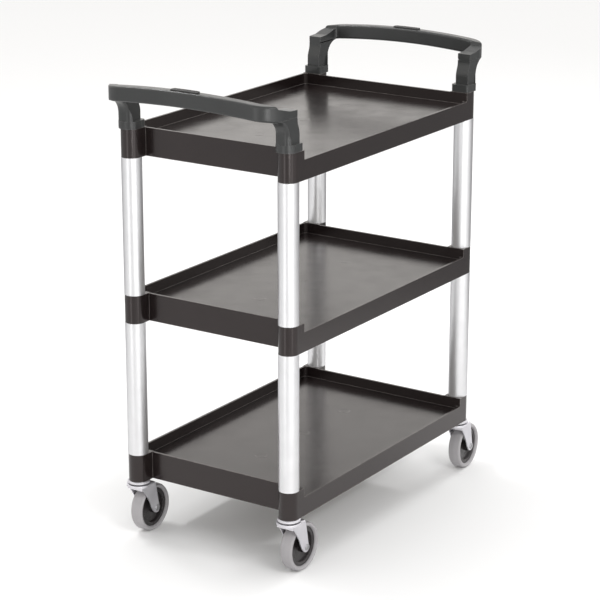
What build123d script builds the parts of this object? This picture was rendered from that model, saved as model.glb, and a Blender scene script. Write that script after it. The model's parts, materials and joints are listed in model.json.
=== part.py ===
from build123d import *
from math import cos, radians, sin
import os

# Three-shelf food service trolley. Millimetres, +Z up, origin on the floor under the middle.
# X runs along the trolley from handle to handle, and -Y is the front, where the trays have a low lip.

# Frame: four tube columns, cut into sections between the trays
COLUMN_X = 332          # column axis from the middle, along the trolley
COLUMN_Y = 183.5        # column axis from the middle, across the trolley
TUBE_R = 20.5
TUBE_WALL = 1.6

# Trays: moulded plastic, one shape with three sets of corner fittings
TRAY_LOW = 121          # underside of the lowest tray above the floor
TRAY_PITCH = 337
COLLAR_TOP = 58         # all heights below are above the tray's own underside
WALL_TOP = 57
FLOOR_TOP = 34.5
LIP_TOP = 40
COLLAR_R = 20.2
END_RECESS = 20         # the end wall stands this far inside the column axes
WALL = 4
FLOOR = 3.5
CORNER_R = 9            # inside corners of the tray
COLLAR_BORE_R = 15.6
SPIGOT_LENGTH = 35      # the tray's spigots reach this far into the tubes
SPIGOT_CAP = 4          # upward spigots are closed by a cap with a screw hole
RIB = 2.4
RIB_BOTTOM = 12
RIB_ROWS_X = (-240, -160, -80, 0, 80, 160, 240)
RIB_ROWS_Y = (-120, -40, 40, 120)

# Push handles: x is measured outwards from the column axes
HANDLE_SPIGOT_R = 12
HANDLE_SPIGOT_LENGTH = 26
SCREW_R = 2.5
SCREW_LENGTH = 22
GRIP_REACH = 82         # outer face of the grip at its middle
GRIP_BOW = 4            # the grip's ends stand this far back
GRIP_DEPTH = 24
GRIP_CORNER_R = 47
GRIP_INNER_R = 8
GRIP_TOP = 956          # above the floor, at the middle
GRIP_HEIGHT = 30
GRIP_ARCH = 10.5        # the grip's ends are this much lower
GRIP_EDGE_R = 4
LEG_OUTER = 15.5         # the arms and cheeks reach this far outwards of the column axis
LEG_INNER = 13           # and this far inwards
LEG_TOP = 931
ARM_BEND_X = 17         # from here the arm's top rises to a knee and then to the grip
ARM_KNEE_X = 50
ARM_KNEE = 941
NOSE_HALF_WIDTH = 18.5
NOSE_X = 23
NOSE_R = 13
FLARE_R = 33            # the nose flares into the arm above it
CHEEK_X = 16            # the flat cheeks end here, and their line flares wider
CHEEK_FLARE_R = 45
LEG_INNER_X = -14.5
LEG_TOP_X = -7.5
SWELL_TOP = 914         # between these heights the leg eases inwards to its foot
SWELL_LOW = 884
FOOT_HEIGHT = 15
FOOT_R = 23
FOOT_X = 1.5            # the foot is set this far outwards on the column
FOOT_INNER_X = -21.5
PAD_HALF_LENGTH = 31
PAD_HALF_DEPTH = 7.5
PAD_SEAT = -1.5         # the pad's seat and its top, above the grip's top
PAD_PROUD = 2.6

# Casters: x is measured from the swivel axis towards the trailing wheel
WHEEL_R = 50
WHEEL_WIDTH = 28
HUB_R = 40.4
HUB_HALF_WIDTH = 8.3
TRAIL = 35.6
FORK_INNER = 16.5       # half of the space between the fork's legs
FORK_SHEET = 2.3
CROWN_BOTTOM = 106.3
CROWN_LIP = 101.5       # the crown is bent down to here at its front
CROWN_TOP = 113.6
CROWN_R = 25
RACE_R = 17
BALL_R = 2.1
BALL_Z = 115
BALL_COUNT = 20
STEM_R = 5.5
PLATE_R = 23
SLEEVE_R = 6
AXLE_R = 4
HEAD_R = 6.5
RUNNING_GAP = 0.05      # radial clearance of the parts that turn on each other

CORNERS = {
    "left_back": (-1, 1),
    "left_front": (-1, -1),
    "right_front": (1, -1),
    "right_back": (1, 1),
}
# how far each wheel stands turned from straight behind its swivel axis, in degrees
CASTER_TURN = {"left_back": 0.5, "left_front": -0.5, "right_front": 3.5, "right_back": 1.5}


def block(x, y, z):
    """A box from three (low, high) pairs."""
    size = (x[1] - x[0], y[1] - y[0], z[1] - z[0])
    middle = ((x[0] + x[1]) / 2, (y[0] + y[1]) / 2, (z[0] + z[1]) / 2)
    return Pos(*middle) * Box(*size)


def rod(radius, low, high, x=0, y=0):
    """An upright cylinder between two heights."""
    return Pos(x, y, (low + high) / 2) * Cylinder(radius, high - low)


def column_places():
    return [(name, sx * COLUMN_X, sy * COLUMN_Y) for name, (sx, sy) in CORNERS.items()]


def save(node, shape):
    shape.label = node
    export_step(shape, f"parts/{node}.step")


# ---------------------------------------------------------------- trays

def tray_lug(sx, sy):
    """The corner fitting: a half-round collar joined to the tray by flat sides."""
    x, y = sx * COLUMN_X, sy * COLUMN_Y
    inner = sx * (COLUMN_X - END_RECESS - WALL)
    sides = block(sorted((inner, x)), (y - COLLAR_R, y + COLLAR_R), (0, COLLAR_TOP))
    return sides + rod(COLLAR_R, 0, COLLAR_TOP, x, y)


def tray(top_spigot, bottom_spigot):
    """A tray with its underside at z = 0; the spigots are (radius, length) or None."""
    half_x = COLUMN_X - END_RECESS
    half_y = COLUMN_Y + COLLAR_R
    inside_x = half_x - WALL
    inside_y = half_y - WALL
    body = block((-half_x, half_x), (-half_y, half_y), (0, WALL_TOP))
    for sx, sy in CORNERS.values():
        body += tray_lug(sx, sy)

    load_space = extrude(RectangleRounded(2 * inside_x, 2 * inside_y, CORNER_R), COLLAR_TOP)
    body -= Pos(0, 0, FLOOR_TOP) * load_space
    body -= block((-inside_x, inside_x), (-inside_y, inside_y), (0, FLOOR_TOP - FLOOR))
    front = (-half_y - 1, -inside_y + CORNER_R)
    body -= block((-inside_x, inside_x), front, (LIP_TOP, COLLAR_TOP + 1))

    rib_top = FLOOR_TOP - FLOOR
    for x in RIB_ROWS_X:
        body += block((x - RIB / 2, x + RIB / 2), (-inside_y, inside_y), (RIB_BOTTOM, rib_top))
    for y in RIB_ROWS_Y:
        body += block((-inside_x, inside_x), (y - RIB / 2, y + RIB / 2), (RIB_BOTTOM, rib_top))

    for _, x, y in column_places():
        low, high = 0, COLLAR_TOP
        if top_spigot:
            radius, length = top_spigot
            body += rod(radius, COLLAR_TOP - 8, COLLAR_TOP + length, x, y)
            body -= rod(radius - 3, COLLAR_TOP - 9, COLLAR_TOP + length - SPIGOT_CAP, x, y)
            body -= rod(SCREW_R + 0.2, COLLAR_TOP, COLLAR_TOP + length + 1, x, y)
            high = COLLAR_TOP - 8
        if bottom_spigot:
            radius, length = bottom_spigot
            body += rod(radius, -length, 8, x, y)
            body -= rod(radius - 3, -length - 1, 9, x, y)
            low = 8
        body -= rod(COLLAR_BORE_R, low, high, x, y)
    return body


def trays():
    tube_spigot = (TUBE_R - TUBE_WALL - RUNNING_GAP, SPIGOT_LENGTH)
    handle_spigot = (HANDLE_SPIGOT_R, HANDLE_SPIGOT_LENGTH)
    save("lower_tray", Pos(0, 0, TRAY_LOW) * tray(tube_spigot, None))
    save("middle_tray", Pos(0, 0, TRAY_LOW + TRAY_PITCH) * tray(tube_spigot, tube_spigot))
    save("upper_tray", Pos(0, 0, TRAY_LOW + 2 * TRAY_PITCH) * tray(handle_spigot, tube_spigot))


def columns():
    """Anodised tube sections that sit on the collars and over the spigots."""
    for tier, level in (("lower", TRAY_LOW), ("upper", TRAY_LOW + TRAY_PITCH)):
        low = level + COLLAR_TOP
        high = level + TRAY_PITCH
        for name, x, y in column_places():
            tube = rod(TUBE_R, low, high, x, y) - rod(TUBE_R - TUBE_WALL, low - 1, high + 1, x, y)
            save(f"{tier}_column_{name}", tube)


# ---------------------------------------------------------------- push handles
# A handle is drawn for the right-hand end with x = 0 at the column axes.

HANDLE_BASE = TRAY_LOW + 2 * TRAY_PITCH + COLLAR_TOP
GRIP_END_X = GRIP_REACH - GRIP_BOW
ARM_OUTER_Y = COLUMN_Y + LEG_OUTER
ARM_INNER_Y = COLUMN_Y - LEG_INNER


def grip_plan():
    """The handle from above: two arms and a bowed grip with round corners."""
    outer_corner = ARM_OUTER_Y - GRIP_CORNER_R
    turn = GRIP_CORNER_R * (1 - cos(radians(45)))
    outer = [
        Line((LEG_TOP_X, -ARM_OUTER_Y), (GRIP_END_X - GRIP_CORNER_R, -ARM_OUTER_Y)),
        ThreePointArc(
            (GRIP_END_X - GRIP_CORNER_R, -ARM_OUTER_Y),
            (GRIP_END_X - turn, -ARM_OUTER_Y + turn),
            (GRIP_END_X, -outer_corner),
        ),
        ThreePointArc((GRIP_END_X, -outer_corner), (GRIP_REACH, 0), (GRIP_END_X, outer_corner)),
        ThreePointArc(
            (GRIP_END_X, outer_corner),
            (GRIP_END_X - turn, ARM_OUTER_Y - turn),
            (GRIP_END_X - GRIP_CORNER_R, ARM_OUTER_Y),
        ),
        Line((GRIP_END_X - GRIP_CORNER_R, ARM_OUTER_Y), (LEG_TOP_X, ARM_OUTER_Y)),
        Line((LEG_TOP_X, ARM_OUTER_Y), (LEG_TOP_X, -ARM_OUTER_Y)),
    ]
    inner_end = GRIP_END_X - GRIP_DEPTH
    inner_corner = ARM_INNER_Y - GRIP_INNER_R
    step = GRIP_INNER_R * (1 - cos(radians(45)))
    back = LEG_TOP_X - 10
    inner = [
        Line((back, -ARM_INNER_Y), (inner_end - GRIP_INNER_R, -ARM_INNER_Y)),
        ThreePointArc(
            (inner_end - GRIP_INNER_R, -ARM_INNER_Y),
            (inner_end - step, -ARM_INNER_Y + step),
            (inner_end, -inner_corner),
        ),
        ThreePointArc(
            (inner_end, -inner_corner),
            (GRIP_REACH - GRIP_DEPTH, 0),
            (inner_end, inner_corner),
        ),
        ThreePointArc(
            (inner_end, inner_corner),
            (inner_end - step, ARM_INNER_Y - step),
            (inner_end - GRIP_INNER_R, ARM_INNER_Y),
        ),
        Line((inner_end - GRIP_INNER_R, ARM_INNER_Y), (back, ARM_INNER_Y)),
        Line((back, ARM_INNER_Y), (back, -ARM_INNER_Y)),
    ]
    return make_face(outer) - make_face(inner)


def arch(low_end, low_middle, high_end, high_middle, half_length):
    """An arched bar seen from the end of the trolley, extruded far along x."""
    edges = [
        ThreePointArc((-half_length, low_end), (0, low_middle), (half_length, low_end)),
        Line((half_length, low_end), (half_length, high_end)),
        ThreePointArc((half_length, high_end), (0, high_middle), (-half_length, high_end)),
        Line((-half_length, high_end), (-half_length, low_end)),
    ]
    bar = extrude(Plane.YZ * make_face(edges), 120)
    return Pos(LEG_TOP_X - 10, 0, 0) * bar


def grip_loop():
    """The grip and its two arms, without the legs."""
    top_end = GRIP_TOP - GRIP_ARCH
    plan = extrude(grip_plan(), GRIP_TOP + 1)
    bar = arch(top_end - GRIP_HEIGHT, GRIP_TOP - GRIP_HEIGHT, top_end, GRIP_TOP, ARM_OUTER_Y)
    below = top_end - GRIP_HEIGHT - 5
    slope = [
        (LEG_TOP_X, below),
        (GRIP_REACH + 1, below),
        (GRIP_REACH + 1, GRIP_TOP + 20),
        (ARM_KNEE_X + 16, GRIP_TOP + 20),
        (ARM_KNEE_X, ARM_KNEE),
        (ARM_BEND_X, LEG_TOP + 1.5),
        (LEG_TOP_X, LEG_TOP),
    ]
    side = extrude(Plane.XZ * make_face(Polyline(*slope, close=True)), ARM_OUTER_Y + 1, both=True)
    loop = plan & bar
    for low, high in ((top_end - 10, GRIP_TOP + 1), (0, top_end - GRIP_HEIGHT + 12)):
        edges = [e for e in loop.edges() if e.length > 8 and e.center().X > 20]
        level = [e for e in edges if e.bounding_box().size.Z < 16 and low < e.center().Z < high]
        loop = fillet(level, GRIP_EDGE_R)
    return loop & side


def leg_outline(front, flare, top):
    """Side view of a leg: upright outside that flares under the arm, stepped inside."""
    rim = GRIP_TOP - GRIP_ARCH - GRIP_HEIGHT
    centre = (front + flare, rim - flare)
    turn = flare * cos(radians(45))
    low = HANDLE_BASE + FOOT_HEIGHT
    middle = ((LEG_TOP_X + LEG_INNER_X) / 2, (SWELL_TOP + SWELL_LOW) / 2)
    ease = ((LEG_TOP_X - LEG_INNER_X) / 8, (SWELL_TOP - SWELL_LOW) / 4)
    return [
        Line((LEG_INNER_X, low), (front, low)),
        Line((front, low), (front, centre[1])),
        ThreePointArc((front, centre[1]), (centre[0] - turn, centre[1] + turn), (centre[0], rim)),
        Line((centre[0], rim), (centre[0], top)),
        Line((centre[0], top), (LEG_TOP_X, top)),
        Line((LEG_TOP_X, top), (LEG_TOP_X, SWELL_TOP)),
        ThreePointArc((LEG_TOP_X, SWELL_TOP), (LEG_TOP_X - ease[0], SWELL_TOP - ease[1]), middle),
        ThreePointArc(middle, (LEG_INNER_X + ease[0], SWELL_LOW + ease[1]), (LEG_INNER_X, SWELL_LOW)),
        Line((LEG_INNER_X, SWELL_LOW), (LEG_INNER_X, low)),
    ]


def leg():
    """The leg of the +Y side at y = 0, with its round nose, flat cheeks and foot."""
    top = GRIP_TOP - GRIP_ARCH - GRIP_HEIGHT + 2
    full = extrude(Plane.XZ * make_face(leg_outline(NOSE_X, FLARE_R, top)), NOSE_HALF_WIDTH, both=True)
    low = HANDLE_BASE + FOOT_HEIGHT
    outer = [e for e in full.edges() if abs(abs(e.center().Y) - NOSE_HALF_WIDTH) < 0.1]
    outer = [e for e in outer if e.center().X > NOSE_X - 0.1 and low + 1 < e.center().Z < top - 3]
    full = fillet(outer, NOSE_R)
    behind = extrude(Plane.XZ * make_face(leg_outline(CHEEK_X, CHEEK_FLARE_R, top + 5)), 60, both=True)
    cheeks = block((-60, 120), (LEG_OUTER, 60), (low, top + 20))
    cheeks += block((-60, 120), (-60, -LEG_INNER), (low, top + 20))
    shape = full - (behind & cheeks)
    foot = block((FOOT_INNER_X, FOOT_X), (-COLLAR_R, COLLAR_R), (HANDLE_BASE, low))
    foot = fillet([e for e in foot.edges().filter_by(Axis.Z) if e.center().X < -1], 6)
    foot += rod(FOOT_R, HANDLE_BASE, low, FOOT_X, 0) & block((-30, 60), (-21, 21), (HANDLE_BASE, low))
    return shape + foot


def handle():
    """A handle in place at the right-hand end."""
    body = grip_loop()
    under = GRIP_TOP - GRIP_ARCH - GRIP_HEIGHT - 3
    within = extrude(grip_plan(), GRIP_TOP) + block((-60, 120), (-260, 260), (0, under))
    body += Pos(0, COLUMN_Y, 0) * leg() & within
    body += Pos(0, -COLUMN_Y, 0) * mirror(leg(), about=Plane.XZ) & within
    for side in (-1, 1):
        socket_top = HANDLE_BASE + HANDLE_SPIGOT_LENGTH + 1
        body -= rod(HANDLE_SPIGOT_R + RUNNING_GAP, HANDLE_BASE - 1, socket_top, 0, side * COLUMN_Y)
        body -= rod(SCREW_R, socket_top - 1, socket_top + SCREW_LENGTH, 0, side * COLUMN_Y)
    body -= pad_blank(PAD_SEAT)
    return Pos(COLUMN_X, 0, 0) * body


def pad_blank(low):
    """The pad's outline on the grip between a height and its top, following the arch."""
    x = GRIP_REACH - GRIP_DEPTH / 2
    plan = extrude(Pos(x, 0) * RectangleRounded(2 * PAD_HALF_DEPTH, 2 * PAD_HALF_LENGTH, 5), GRIP_TOP + 9)
    end = GRIP_TOP - GRIP_ARCH
    return plan & arch(end + low, GRIP_TOP + low, end + PAD_PROUD, GRIP_TOP + PAD_PROUD, ARM_OUTER_Y)


def grip_pad():
    pad = pad_blank(PAD_SEAT)
    x = GRIP_REACH - GRIP_DEPTH / 2
    for step in range(-5, 6):
        groove = block((x - 6, x + 6), (step * 5 - 0.8, step * 5 + 0.8), (GRIP_TOP + 1.4, GRIP_TOP + 9))
        pad -= groove
    return Pos(COLUMN_X, 0, 0) * pad


def handle_screws():
    """Screws that rise through the upper tray's spigots into the handles."""
    screws = []
    seat = HANDLE_BASE + HANDLE_SPIGOT_LENGTH - SPIGOT_CAP
    for _, x, y in column_places():
        screw = rod(2 * SCREW_R, seat - 4, seat, x, y) + rod(SCREW_R, seat, seat + SCREW_LENGTH, x, y)
        screws.append(screw)
    return Compound(screws)


def handles():
    right = handle()
    pad = grip_pad()
    half_turn = Rot(0, 0, 180)
    save("right_handle", right)
    save("left_handle", half_turn * right)
    save("right_grip_pad", pad)
    save("left_grip_pad", half_turn * pad)


# ---------------------------------------------------------------- casters
# A caster is drawn with its swivel axis on the Z axis and its wheel trailing towards +X.

def across(radius, low, high):
    """A cylinder along y through the wheel's axis."""
    return Pos(TRAIL, (low + high) / 2, WHEEL_R) * Rot(90, 0, 0) * Cylinder(radius, high - low)


def turned(points):
    """A ring turned about the wheel's axis from (radius, y) points."""
    outline = make_face(Polyline(*points, close=True))
    ring = revolve(outline, Axis.Y, 360)
    return Pos(TRAIL, 0, WHEEL_R) * ring


def caster_socket():
    """The bush pressed into the lower tray's collar."""
    body = rod(COLLAR_BORE_R, TRAY_LOW, TRAY_LOW + 44)
    return body - rod(STEM_R, TRAY_LOW - 1, TRAY_LOW + 45)


def caster_stem():
    """Stem, upper race plate and kingpin in one piece with a riveted end."""
    plate = rod(PLATE_R, BALL_Z + 1.4, TRAY_LOW - 0.1)
    plate = chamfer(plate.edges().group_by(Axis.Z)[-1], 1.6)
    body = plate + rod(STEM_R, CROWN_BOTTOM - 4, TRAY_LOW + 40)
    body += rod(9, CROWN_BOTTOM - 4.5, CROWN_BOTTOM - 0.3)
    return body - Pos(0, 0, BALL_Z) * Torus(RACE_R, BALL_R + 0.3)


def caster_balls():
    balls = []
    for i in range(BALL_COUNT):
        turn = radians(360 * i / BALL_COUNT)
        balls.append(Pos(RACE_R * cos(turn), RACE_R * sin(turn), BALL_Z) * Sphere(BALL_R))
    return Compound(balls)


def fork_outline():
    """Side view of the stamped fork, tapering from the crown to the axle."""
    eye = (TRAIL, WHEEL_R)
    top = CROWN_TOP - 3
    return [
        Line((-14, top), (-14, CROWN_BOTTOM)),
        ThreePointArc((-14, CROWN_BOTTOM), (3.1, 83.2), (14.8, 59.6)),
        ThreePointArc((14.8, 59.6), (18.6, 52), (24.5, 45.2)),
        ThreePointArc((24.5, 45.2), (eye[0], eye[1] - 9.3), (eye[0] + 9.3, eye[1])),
        Line((eye[0] + 9.3, eye[1]), (eye[0] - 1, top - 7)),
        ThreePointArc((eye[0] - 1, top - 7), (eye[0] - 3.6, top - 2), (eye[0] - 9, top)),
        Line((eye[0] - 9, top), (-14, top)),
    ]


def caster_fork():
    outer = FORK_INNER + FORK_SHEET
    body = extrude(Plane.XZ * make_face(fork_outline()), outer, both=True)
    top = [e for e in body.edges() if abs(e.center().Z - (CROWN_TOP - 3)) < 0.1 and e.length > 30]
    body = fillet([e for e in top if abs(e.center().Y) > outer - 1], 4)
    body -= block((-40, 80), (-FORK_INNER, FORK_INNER), (0, CROWN_BOTTOM))
    body += block((-14, FORK_SHEET - 14), (-outer, outer), (CROWN_LIP, CROWN_BOTTOM + 2))
    body += rod(CROWN_R, CROWN_BOTTOM + 2.2, CROWN_TOP)
    rim = [e for e in body.edges() if e.geom_type == GeomType.CIRCLE and abs(e.radius - CROWN_R) < 0.1]
    body = fillet([e for e in rim if abs(e.center().Z - CROWN_TOP) < 0.1], 1.4)
    body -= rod(STEM_R + RUNNING_GAP, 90, CROWN_TOP + 1)
    body -= Pos(0, 0, BALL_Z) * Torus(RACE_R, BALL_R)
    return body - across(AXLE_R, -outer - 1, outer + 1)


def hexagon(y_low, y_high, flats, bore=0):
    """A hexagonal prism along y on the wheel's axis."""
    face = Plane.XZ * RegularPolygon(flats / 2, 6, major_radius=False)
    prism = extrude(face, (y_high - y_low) / 2, both=True)
    prism = Pos(TRAIL, (y_low + y_high) / 2, WHEEL_R) * prism
    return prism - across(bore, y_low - 1, y_high + 1) if bore else prism


def axle_bolt():
    outer = FORK_INNER + FORK_SHEET
    head = across(HEAD_R, -outer - 1.8, -outer)
    head = fillet(head.edges().group_by(Axis.Y)[0], 0.9)
    bolt = across(AXLE_R, -outer, outer + 6.5) + head
    return bolt - across(2.8, -outer - 2, -outer - 0.6)


def axle_nut():
    outer = FORK_INNER + FORK_SHEET
    return hexagon(outer, outer + 5, 12.5, AXLE_R)


def axle_sleeve():
    return across(SLEEVE_R, -FORK_INNER, FORK_INNER) - across(AXLE_R, -FORK_INNER - 1, FORK_INNER + 1)


def wheel_hub():
    """Moulded hub: deep rim, recessed web on both sides and a long boss."""
    bore = SLEEVE_R + RUNNING_GAP
    boss = FORK_INNER - 0.9
    rim = HUB_HALF_WIDTH
    half = [
        (bore, boss), (10.5, boss), (11.5, boss - 1), (12.5, 4.5), (22, 3), (31, 3.5), (32.5, rim - 0.6),
        (34, rim + 0.4), (HUB_R, rim),
    ]
    other = [(r, -y) for r, y in reversed(half)]
    return turned(half + other)


def tyre():
    """Rubber tyre with rounded shoulders, bonded to the hub's rim."""
    edge = HUB_HALF_WIDTH
    half = WHEEL_WIDTH / 2
    outline = [
        Line((HUB_R, -edge), (HUB_R, edge)),
        ThreePointArc((HUB_R, edge), (HUB_R + 3, half - 0.9), (WHEEL_R - 3.5, half - 0.4)),
        ThreePointArc((WHEEL_R - 3.5, half - 0.4), (WHEEL_R - 1.4, half - 2.8), (WHEEL_R - 0.6, half - 7)),
        ThreePointArc((WHEEL_R - 0.6, half - 7), (WHEEL_R, 0), (WHEEL_R - 0.6, 7 - half)),
        ThreePointArc((WHEEL_R - 0.6, 7 - half), (WHEEL_R - 1.4, 2.8 - half), (WHEEL_R - 3.5, 0.4 - half)),
        ThreePointArc((WHEEL_R - 3.5, 0.4 - half), (HUB_R + 3, 0.9 - half), (HUB_R, -edge)),
    ]
    return Pos(TRAIL, 0, WHEEL_R) * revolve(make_face(outline), Axis.Y, 360)


def casters():
    pieces = {
        "caster_socket": caster_socket(),
        "caster_stem": caster_stem(),
        "caster_balls": caster_balls(),
        "caster_fork": caster_fork(),
        "axle_bolt": axle_bolt(),
        "axle_nut": axle_nut(),
        "axle_sleeve": axle_sleeve(),
        "wheel_hub": wheel_hub(),
        "tyre": tyre(),
    }
    for name, x, y in column_places():
        place = Pos(x, y, 0) * Rot(0, 0, CASTER_TURN[name])
        for piece, shape in pieces.items():
            save(f"{piece}_{name}", place * shape)


os.makedirs("parts", exist_ok=True)
trays()
columns()
handles()
save("handle_screws", handle_screws())
casters()
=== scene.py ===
import json
import math

import bmesh
import bpy
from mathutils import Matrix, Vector


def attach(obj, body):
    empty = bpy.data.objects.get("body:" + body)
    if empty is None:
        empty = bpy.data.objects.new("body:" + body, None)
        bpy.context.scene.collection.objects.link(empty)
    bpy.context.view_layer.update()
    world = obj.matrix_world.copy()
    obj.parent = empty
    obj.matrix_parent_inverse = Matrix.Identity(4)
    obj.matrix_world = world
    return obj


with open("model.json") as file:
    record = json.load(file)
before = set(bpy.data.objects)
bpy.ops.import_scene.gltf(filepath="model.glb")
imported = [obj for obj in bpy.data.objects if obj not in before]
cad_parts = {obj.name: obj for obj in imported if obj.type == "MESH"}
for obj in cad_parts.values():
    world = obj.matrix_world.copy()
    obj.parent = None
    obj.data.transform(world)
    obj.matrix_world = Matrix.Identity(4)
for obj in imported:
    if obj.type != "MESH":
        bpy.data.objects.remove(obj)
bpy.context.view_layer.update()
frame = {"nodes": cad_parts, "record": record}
nodes = frame["nodes"]

CORNERS = ("left_back", "left_front", "right_front", "right_back")
SIDES = ("left", "right")
TIERS = ("lower", "middle", "upper")
mount_places = {mount["name"]: Vector(mount["pos_m"]) for mount in frame["record"]["mounts"]}


# ---------------------------------------------------------------- camera and lamps

CAMERA_PLACE = (-3.6118, -2.3722, 1.7782)
CAMERA_YAW = -0.9878  # radians about Z, from looking along +Y
CAMERA_PITCH = 0.2986  # radians below the horizon
CAMERA_SENSOR = 36  # mm
CAMERA_LENS = 131.03  # mm
CAMERA_NEAR, CAMERA_FAR = 0.1, 100

TROLLEY_MIDDLE = (0, 0, 0.5)
TROLLEY_CASTERS = (0, 0, 0.15)
LAMPS = (  # name, place, what it is aimed at, width in metres, power in watts
    ("key", (-1.6, -3.6, 3.0), TROLLEY_MIDDLE, 1.6, 50),
    ("low", (-2.4, -2.4, 0.45), TROLLEY_CASTERS, 0.8, 14),
    ("side", (3.2, -0.5, 2.5), TROLLEY_MIDDLE, 1.1, 32),
    ("overhead", (0.0, 2.0, 3.4), TROLLEY_MIDDLE, 1.2, 34),
)
LAMP_DEPTH = 0.25


def put(name, data, location, direction):
    """A camera or a lamp in the scene, turned to look in a direction."""
    thing = bpy.data.objects.new(name, data)
    thing.location = location
    thing.rotation_mode = "QUATERNION"
    thing.rotation_quaternion = direction.to_track_quat("-Z", "Y")
    bpy.context.scene.collection.objects.link(thing)
    return thing


def add_camera():
    data = bpy.data.cameras.new("camera")
    data.sensor_width = CAMERA_SENSOR
    data.lens = CAMERA_LENS
    data.clip_start, data.clip_end = CAMERA_NEAR, CAMERA_FAR
    level = math.cos(CAMERA_PITCH)
    forward = Vector((
        -math.sin(CAMERA_YAW) * level,
        math.cos(CAMERA_YAW) * level,
        -math.sin(CAMERA_PITCH),
    ))
    bpy.context.scene.camera = put("camera", data, CAMERA_PLACE, forward)


def add_lamp(name, location, target, width, power):
    data = bpy.data.lights.new(name, "AREA")
    data.shape = "RECTANGLE"
    data.size = width
    data.size_y = LAMP_DEPTH
    data.energy = power
    put(name, data, location, Vector(target) - Vector(location))


# ---------------------------------------------------------------- shader nodes

MIX_COLOUR_A, MIX_COLOUR_B, MIX_COLOUR_RESULT = 6, 7, 2  # sockets of a Mix node set to colours
NOISE_LOW, NOISE_HIGH = 0.3, 0.7  # what nearly all of a noise lies between


def feed(tree, socket, value):
    """A constant set on a socket, or another node's output linked to it."""
    if isinstance(value, bpy.types.NodeSocket):
        tree.links.new(value, socket)
    else:
        socket.default_value = value


def source(tree, kind, output):
    """One output of a new node that takes no input."""
    return tree.nodes.new(kind).outputs[output]


def maths(tree, operation, *values):
    node = tree.nodes.new("ShaderNodeMath")
    node.operation = operation
    for socket, value in zip(node.inputs, values):
        feed(tree, socket, value)
    return node.outputs[0]


def vector_maths(tree, operation, *vectors):
    """An operation on vectors that gives a number."""
    node = tree.nodes.new("ShaderNodeVectorMath")
    node.operation = operation
    for socket, vector in zip(node.inputs, vectors):
        tree.links.new(vector, socket)
    return node.outputs["Value"]


def spread(tree, value, low, high, from_low=NOISE_LOW, from_high=NOISE_HIGH):
    """A value carried over from one range to another, and held at its ends."""
    node = tree.nodes.new("ShaderNodeMapRange")
    node.inputs["From Min"].default_value = from_low
    node.inputs["From Max"].default_value = from_high
    node.inputs["To Min"].default_value = low
    node.inputs["To Max"].default_value = high
    tree.links.new(value, node.inputs["Value"])
    return node.outputs[0]


def opaque(colour):
    return (*colour, 1)


def grey(level):
    return (level, level, level)


def ramp(tree, value, stops):
    """A colour that follows a value, through stops of a position and a colour each."""
    node = tree.nodes.new("ShaderNodeValToRGB")
    elements = node.color_ramp.elements
    while len(elements) < len(stops):
        elements.new(0.5)
    for element, (position, colour) in zip(elements, stops):
        element.position = position
        element.color = opaque(colour)
    tree.links.new(value, node.inputs[0])
    return node.outputs[0]


def mixed(tree, factor, colour_a, colour_b):
    node = tree.nodes.new("ShaderNodeMix")
    node.data_type = "RGBA"
    tree.links.new(factor, node.inputs[0])
    feed(tree, node.inputs[MIX_COLOUR_A], colour_a)
    feed(tree, node.inputs[MIX_COLOUR_B], colour_b)
    return node.outputs[MIX_COLOUR_RESULT]


def mixed_shaders(tree, factor, shader_a, shader_b):
    node = tree.nodes.new("ShaderNodeMixShader")
    for socket, value in zip(node.inputs, (factor, shader_a, shader_b)):
        tree.links.new(value, socket)
    return node.outputs[0]


# ---------------------------------------------------------------- studio

# Brightness of the studio near the horizon, by degrees round to the camera's right from its own side.
# The two narrow bright strips make the tubes' white lines, and the dark stretch shades their right sides.
STUDIO_RING = (
    (-180, 0.90), (-150, 0.55), (-128, 0.62), (-105, 0.86), (-85, 0.98), (-49, 0.96), (-45, 2.8),
    (-38, 2.8), (-33, 0.92), (-12, 0.86), (12, 0.92), (33, 1.06), (37, 2.7), (43, 2.7), (48, 1.16),
    (68, 1.10), (86, 0.85), (100, 0.50), (125, 0.38), (150, 0.50), (180, 0.90),
)
CAMERA_SIDE = math.radians(-146.6)  # the way from the trolley to the camera, about Z from +X
RING_SCALE = 8.0  # the ramp holds the ring divided by this, so that no stop is above 1
# From the ring to the dome, by height from 0 straight down to 1 straight up.
RING_FADE = ((0.50, grey(0)), (0.56, grey(1)))
# Brightness of the dome, divided by the same scale, by height from 0 at the horizon to 1 straight up.
DOME = ((0.30, (0.165, 0.161, 0.155)), (0.65, grey(0.12)))
BACKDROP = grey(0.93)  # what the camera sees behind the trolley

FLOOR_SIZE = 60
FLOOR_COLOUR = grey(0.88)
FLOOR_ROUGHNESS = 0.9
FLOOR_SPECULAR = 0.1
FLOOR_MIRRORED_TO = (0.9, 1.9)  # distances from its centre between which reflections lose sight of it


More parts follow.
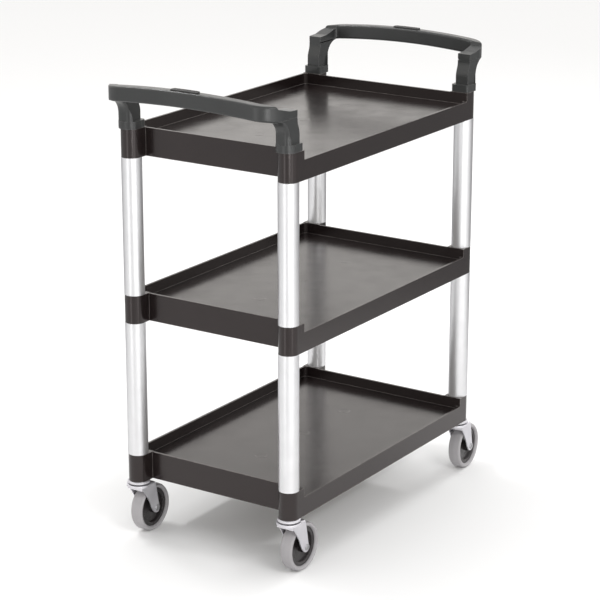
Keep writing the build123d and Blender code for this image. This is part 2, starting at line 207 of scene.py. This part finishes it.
def add_world():
    """Light that comes from a ring near the horizon and a dome over it, and a plain backdrop."""
    world = bpy.data.worlds.new("studio")
    world.use_nodes = True
    bpy.context.scene.world = world
    tree = world.node_tree
    split = tree.nodes.new("ShaderNodeSeparateXYZ")
    tree.links.new(source(tree, "ShaderNodeTexCoord", "Generated"), split.inputs[0])
    x, y, z = split.outputs

    azimuth = maths(tree, "ARCTAN2", y, x)
    turns = maths(tree, "MULTIPLY_ADD", azimuth, 1 / math.tau, 0.5 - CAMERA_SIDE / math.tau)
    ring_stops = [(degrees / 360 + 0.5, grey(level / RING_SCALE)) for degrees, level in STUDIO_RING]
    ring = ramp(tree, maths(tree, "FRACT", turns), ring_stops)
    over_ring = ramp(tree, maths(tree, "MULTIPLY_ADD", z, 0.5, 0.5), RING_FADE)
    sky = mixed(tree, over_ring, ring, ramp(tree, z, DOME))

    lighting = tree.nodes["Background"]
    lighting.inputs["Strength"].default_value = RING_SCALE
    tree.links.new(sky, lighting.inputs["Color"])
    backdrop = tree.nodes.new("ShaderNodeBackground")
    backdrop.inputs["Color"].default_value = opaque(BACKDROP)
    seen = source(tree, "ShaderNodeLightPath", "Is Camera Ray")
    either = mixed_shaders(tree, seen, lighting.outputs[0], backdrop.outputs[0])
    tree.links.new(either, tree.nodes["World Output"].inputs["Surface"])


def new_material(name):
    material = bpy.data.materials.new(name)
    material.use_nodes = True
    return material, material.node_tree, material.node_tree.nodes["Principled BSDF"]


def floor_paint():
    """Matt white, clear to reflections far out, so that they show the studio instead.

    It is clear from below too, so that the underside can be looked at.
    """
    material, tree, shader = new_material("floor_white")
    shader.inputs["Base Color"].default_value = opaque(FLOOR_COLOUR)
    shader.inputs["Roughness"].default_value = FLOOR_ROUGHNESS
    shader.inputs["Specular IOR Level"].default_value = FLOOR_SPECULAR
    distance = vector_maths(tree, "LENGTH", source(tree, "ShaderNodeTexCoord", "Object"))
    far = spread(tree, distance, 0, 1, *FLOOR_MIRRORED_TO)
    unseen = maths(tree, "MULTIPLY", far, source(tree, "ShaderNodeLightPath", "Is Glossy Ray"))
    clear = maths(tree, "MAXIMUM", unseen, source(tree, "ShaderNodeNewGeometry", "Backfacing"))
    nothing = source(tree, "ShaderNodeBsdfTransparent", 0)
    either = mixed_shaders(tree, clear, shader.outputs[0], nothing)
    tree.links.new(either, tree.nodes["Material Output"].inputs["Surface"])
    return material


def add_stage():
    bpy.ops.mesh.primitive_plane_add(size=FLOOR_SIZE, location=(0, 0, 0))
    floor = bpy.context.object
    floor.name = "studio_floor"
    floor.data.materials.append(floor_paint())


# ---------------------------------------------------------------- materials

# Lengths are in metres. A grain is the noise scale of the surface's relief, and its depth is its height.
# The paler edge colour and its width paint a highlight along the edges of each piece.
MOULDED = {
    "tray_plastic": dict(
        dark=(0.0090, 0.0062, 0.0061), light=(0.0112, 0.0078, 0.0076), roughness=(0.175, 0.245),
        grain=900, depth=0.00003, painted_edge_highlight=(0.26, 0.24, 0.23), painted_edge_width=0.0017, tint=(1.0, 0.92, 0.91),
    ),
    "handle_plastic": dict(
        dark=(0.019, 0.020, 0.020), light=(0.024, 0.025, 0.025), roughness=(0.27, 0.35),
        grain=1500, depth=0.00008, painted_edge_highlight=(0.13, 0.13, 0.13), painted_edge_width=0.0012,
    ),
    "grip_rubber": dict(
        dark=(0.014, 0.013, 0.013), light=(0.019, 0.018, 0.018), roughness=(0.45, 0.58),
        grain=1800, depth=0.00010, painted_edge_highlight=(0.08, 0.08, 0.08), painted_edge_width=0.0008,
    ),
    "hub_plastic": dict(
        dark=(0.014, 0.011, 0.012), light=(0.020, 0.017, 0.018), roughness=(0.22, 0.34),
        grain=1200, depth=0.00004, painted_edge_highlight=(0.08, 0.075, 0.075), painted_edge_width=0.0010,
    ),
    "tyre_rubber": dict(
        dark=(0.29, 0.28, 0.29), light=(0.33, 0.32, 0.33), roughness=(0.45, 0.60),
        grain=1400, depth=0.00006,
    ),
}
METALS = {
    "column_aluminium": dict(
        dark=(0.70, 0.70, 0.71), light=(0.74, 0.74, 0.75), roughness=(0.36, 0.40),
        grain=900, depth=0.000006, fineness=(1, 1, 0.02),
    ),
    "zinc_steel": dict(
        dark=(0.64, 0.63, 0.66), light=(0.71, 0.70, 0.73), roughness=(0.48, 0.56),
        grain=60, depth=0.000004,
    ),
    "axle_steel": dict(
        dark=(0.40, 0.40, 0.41), light=(0.48, 0.48, 0.49), roughness=(0.34, 0.44),
        grain=60, depth=0.000004,
    ),
}
METAL_TINT = (0.55, 0.55, 0.57)  # holds back the white rim that metal shows at a glancing angle
METAL_RELIEF = 0.5  # strength of its bump
EDGE_SAMPLES = 6
EDGE_TURN = (0.80, 0.99)  # cosines between the rounded normal and the shape's own, at and clear of an edge
EDGE_HIGHLIGHT_STRENGTH = (0.45, 1.0)  # how strong the painted edge highlight is along its weakest and its strongest stretches
# Noise scale and detail that break the painted edge highlight into patches.
HIGHLIGHT_PATCH_SCALE, HIGHLIGHT_PATCH_DETAIL = 35, 4
CLOUD_DETAIL = 3
PLASTIC_CLOUD, METAL_CLOUD = 9, 30  # noise scales
SMEAR_SCALE, SMEAR_DETAIL = 22, 6
PLASTIC_DETAIL, METAL_DETAIL = 2, 3  # of the grain


def noise(tree, scale, detail, fineness=(1, 1, 1)):
    """A noise in the object's own coordinates, drawn out along an axis whose fineness is under 1."""
    mapping = tree.nodes.new("ShaderNodeMapping")
    mapping.inputs["Scale"].default_value = fineness
    texture = tree.nodes.new("ShaderNodeTexNoise")
    texture.inputs["Scale"].default_value = scale
    texture.inputs["Detail"].default_value = detail
    tree.links.new(source(tree, "ShaderNodeTexCoord", "Object"), mapping.inputs["Vector"])
    tree.links.new(mapping.outputs[0], texture.inputs["Vector"])
    return texture.outputs["Fac"]


def bump(tree, shader, height, depth, strength=1.0):
    node = tree.nodes.new("ShaderNodeBump")
    node.inputs["Distance"].default_value = depth
    node.inputs["Strength"].default_value = strength
    tree.links.new(height, node.inputs["Height"])
    tree.links.new(node.outputs[0], shader.inputs["Normal"])


def painted_edge_highlight_mask(tree, width):
    """Up to 1 within a short distance of an edge of the shape, broken up by a noise: where the painted
    edge highlight goes.
    """
    rounded = tree.nodes.new("ShaderNodeBevel")
    rounded.samples = EDGE_SAMPLES
    rounded.inputs["Radius"].default_value = width
    own_normal = source(tree, "ShaderNodeNewGeometry", "Normal")
    agreement = vector_maths(tree, "DOT_PRODUCT", rounded.outputs[0], own_normal)
    near = spread(tree, agreement, 1, 0, *EDGE_TURN)
    patches = spread(tree, noise(tree, HIGHLIGHT_PATCH_SCALE, HIGHLIGHT_PATCH_DETAIL), *EDGE_HIGHLIGHT_STRENGTH)
    return maths(tree, "MULTIPLY", near, patches)


def cloudy(tree, scale, dark, light):
    """A colour that drifts between a darker and a lighter one."""
    cloud = spread(tree, noise(tree, scale, CLOUD_DETAIL), 0, 1)
    return mixed(tree, cloud, opaque(dark), opaque(light))


def moulded(name, dark, light, roughness, grain, depth, painted_edge_highlight=None, painted_edge_width=0, tint=(1, 1, 1)):
    """Moulded plastic or rubber: cloudy colour, uneven gloss, a fine grain and, if given one, a painted
    highlight along its edges.
    """
    material, tree, shader = new_material(name)
    colour = cloudy(tree, PLASTIC_CLOUD, dark, light)
    if painted_edge_highlight:
        # Paints a highlight along the edges, in the paler edge colour.
        colour = mixed(tree, painted_edge_highlight_mask(tree, painted_edge_width), colour, opaque(painted_edge_highlight))
    tree.links.new(colour, shader.inputs["Base Color"])
    shader.inputs["Specular Tint"].default_value = opaque(tint)
    smear = noise(tree, SMEAR_SCALE, SMEAR_DETAIL)
    tree.links.new(spread(tree, smear, *roughness), shader.inputs["Roughness"])
    bump(tree, shader, noise(tree, grain, PLASTIC_DETAIL), depth)
    return material


def metal(name, dark, light, roughness, grain, depth, fineness=(1, 1, 1)):
    """Drawn or plated metal, whose grain can be drawn out along an axis."""
    material, tree, shader = new_material(name)
    shader.inputs["Metallic"].default_value = 1.0
    shader.inputs["Specular Tint"].default_value = opaque(METAL_TINT)
    tree.links.new(cloudy(tree, METAL_CLOUD, dark, light), shader.inputs["Base Color"])
    lines = noise(tree, grain, METAL_DETAIL, fineness)
    tree.links.new(spread(tree, lines, *roughness), shader.inputs["Roughness"])
    bump(tree, shader, lines, depth, METAL_RELIEF)
    return material


def make_materials():
    made = {name: moulded(name, **look) for name, look in MOULDED.items()}
    made |= {name: metal(name, **look) for name, look in METALS.items()}
    return made


def paint(materials):
    for entry in frame["record"]["subparts"]:
        node = nodes[entry["node"]]
        node.data.materials.clear()
        node.data.materials.append(materials[entry["material_slot"]])


# ---------------------------------------------------------------- shape detail

TRAY_EDGE = 0.0008
HANDLE_EDGE = 0.0012
PAD_EDGE = 0.0004
FORK_EDGE = 0.0005
NUT_EDGE = 0.0004
HUB_EDGE = 0.0004
EDGE_SEGMENTS = 2
EDGE_ANGLE = math.radians(35)

MARK_SPACING = 0.160
MARK_SEGMENTS = 48
MARK_WELD = 0.00001
MARK_PROFILE = (  # radius and height over the shelf floor of a moulding gate mark
    (0.0, 0.00010),
    (0.0098, 0.00010),
    (0.0108, 0.00024),
    (0.0116, 0.00024),
    (0.0125, -0.00020),
    (0.0, -0.00020),
)


def soften(node, width):
    """A real radius on a piece's edges."""
    modifier = nodes[node].modifiers.new("edge_radius", "BEVEL")
    modifier.width = width
    modifier.segments = EDGE_SEGMENTS
    modifier.limit_method = "ANGLE"
    modifier.angle_limit = EDGE_ANGLE


def soften_edges():
    for tier in TIERS:
        soften(f"{tier}_tray", TRAY_EDGE)
    for side in SIDES:
        soften(f"{side}_handle", HANDLE_EDGE)
        soften(f"{side}_grip_pad", PAD_EDGE)
    for corner in CORNERS:
        soften(f"caster_fork_{corner}", FORK_EDGE)
        soften(f"axle_nut_{corner}", NUT_EDGE)
        soften(f"wheel_hub_{corner}", HUB_EDGE)


def add_gate_marks(tier, material):
    """Three low round marks along the middle of a shelf, where the mould was filled."""
    level = mount_places[f"{tier}_shelf"].z
    shape = bmesh.new()
    for x in (-MARK_SPACING, 0, MARK_SPACING):
        ring = [shape.verts.new((x + radius, 0, level + height)) for radius, height in MARK_PROFILE]
        edges = [shape.edges.new(pair) for pair in zip(ring, ring[1:])]
        bmesh.ops.spin(
            shape, geom=ring + edges, cent=(x, 0, level), axis=(0, 0, 1), angle=math.tau,
            steps=MARK_SEGMENTS, use_duplicate=False,
        )
    bmesh.ops.remove_doubles(shape, verts=shape.verts, dist=MARK_WELD)
    bmesh.ops.recalc_face_normals(shape, faces=shape.faces)
    mesh = bpy.data.meshes.new(f"{tier}_tray_gate_marks")
    shape.to_mesh(mesh)
    shape.free()
    mesh.materials.append(material)
    marks = bpy.data.objects.new(mesh.name, mesh)
    bpy.context.scene.collection.objects.link(marks)
    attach(marks, "trolley")


# ---------------------------------------------------------------- scene

add_camera()
add_world()
add_stage()
for lamp in LAMPS:
    add_lamp(*lamp)
materials = make_materials()
paint(materials)
soften_edges()
for tier in TIERS:
    add_gate_marks(tier, materials["tray_plastic"])

bpy.context.scene.view_settings.view_transform = "Standard"
bpy.context.view_layer.update()
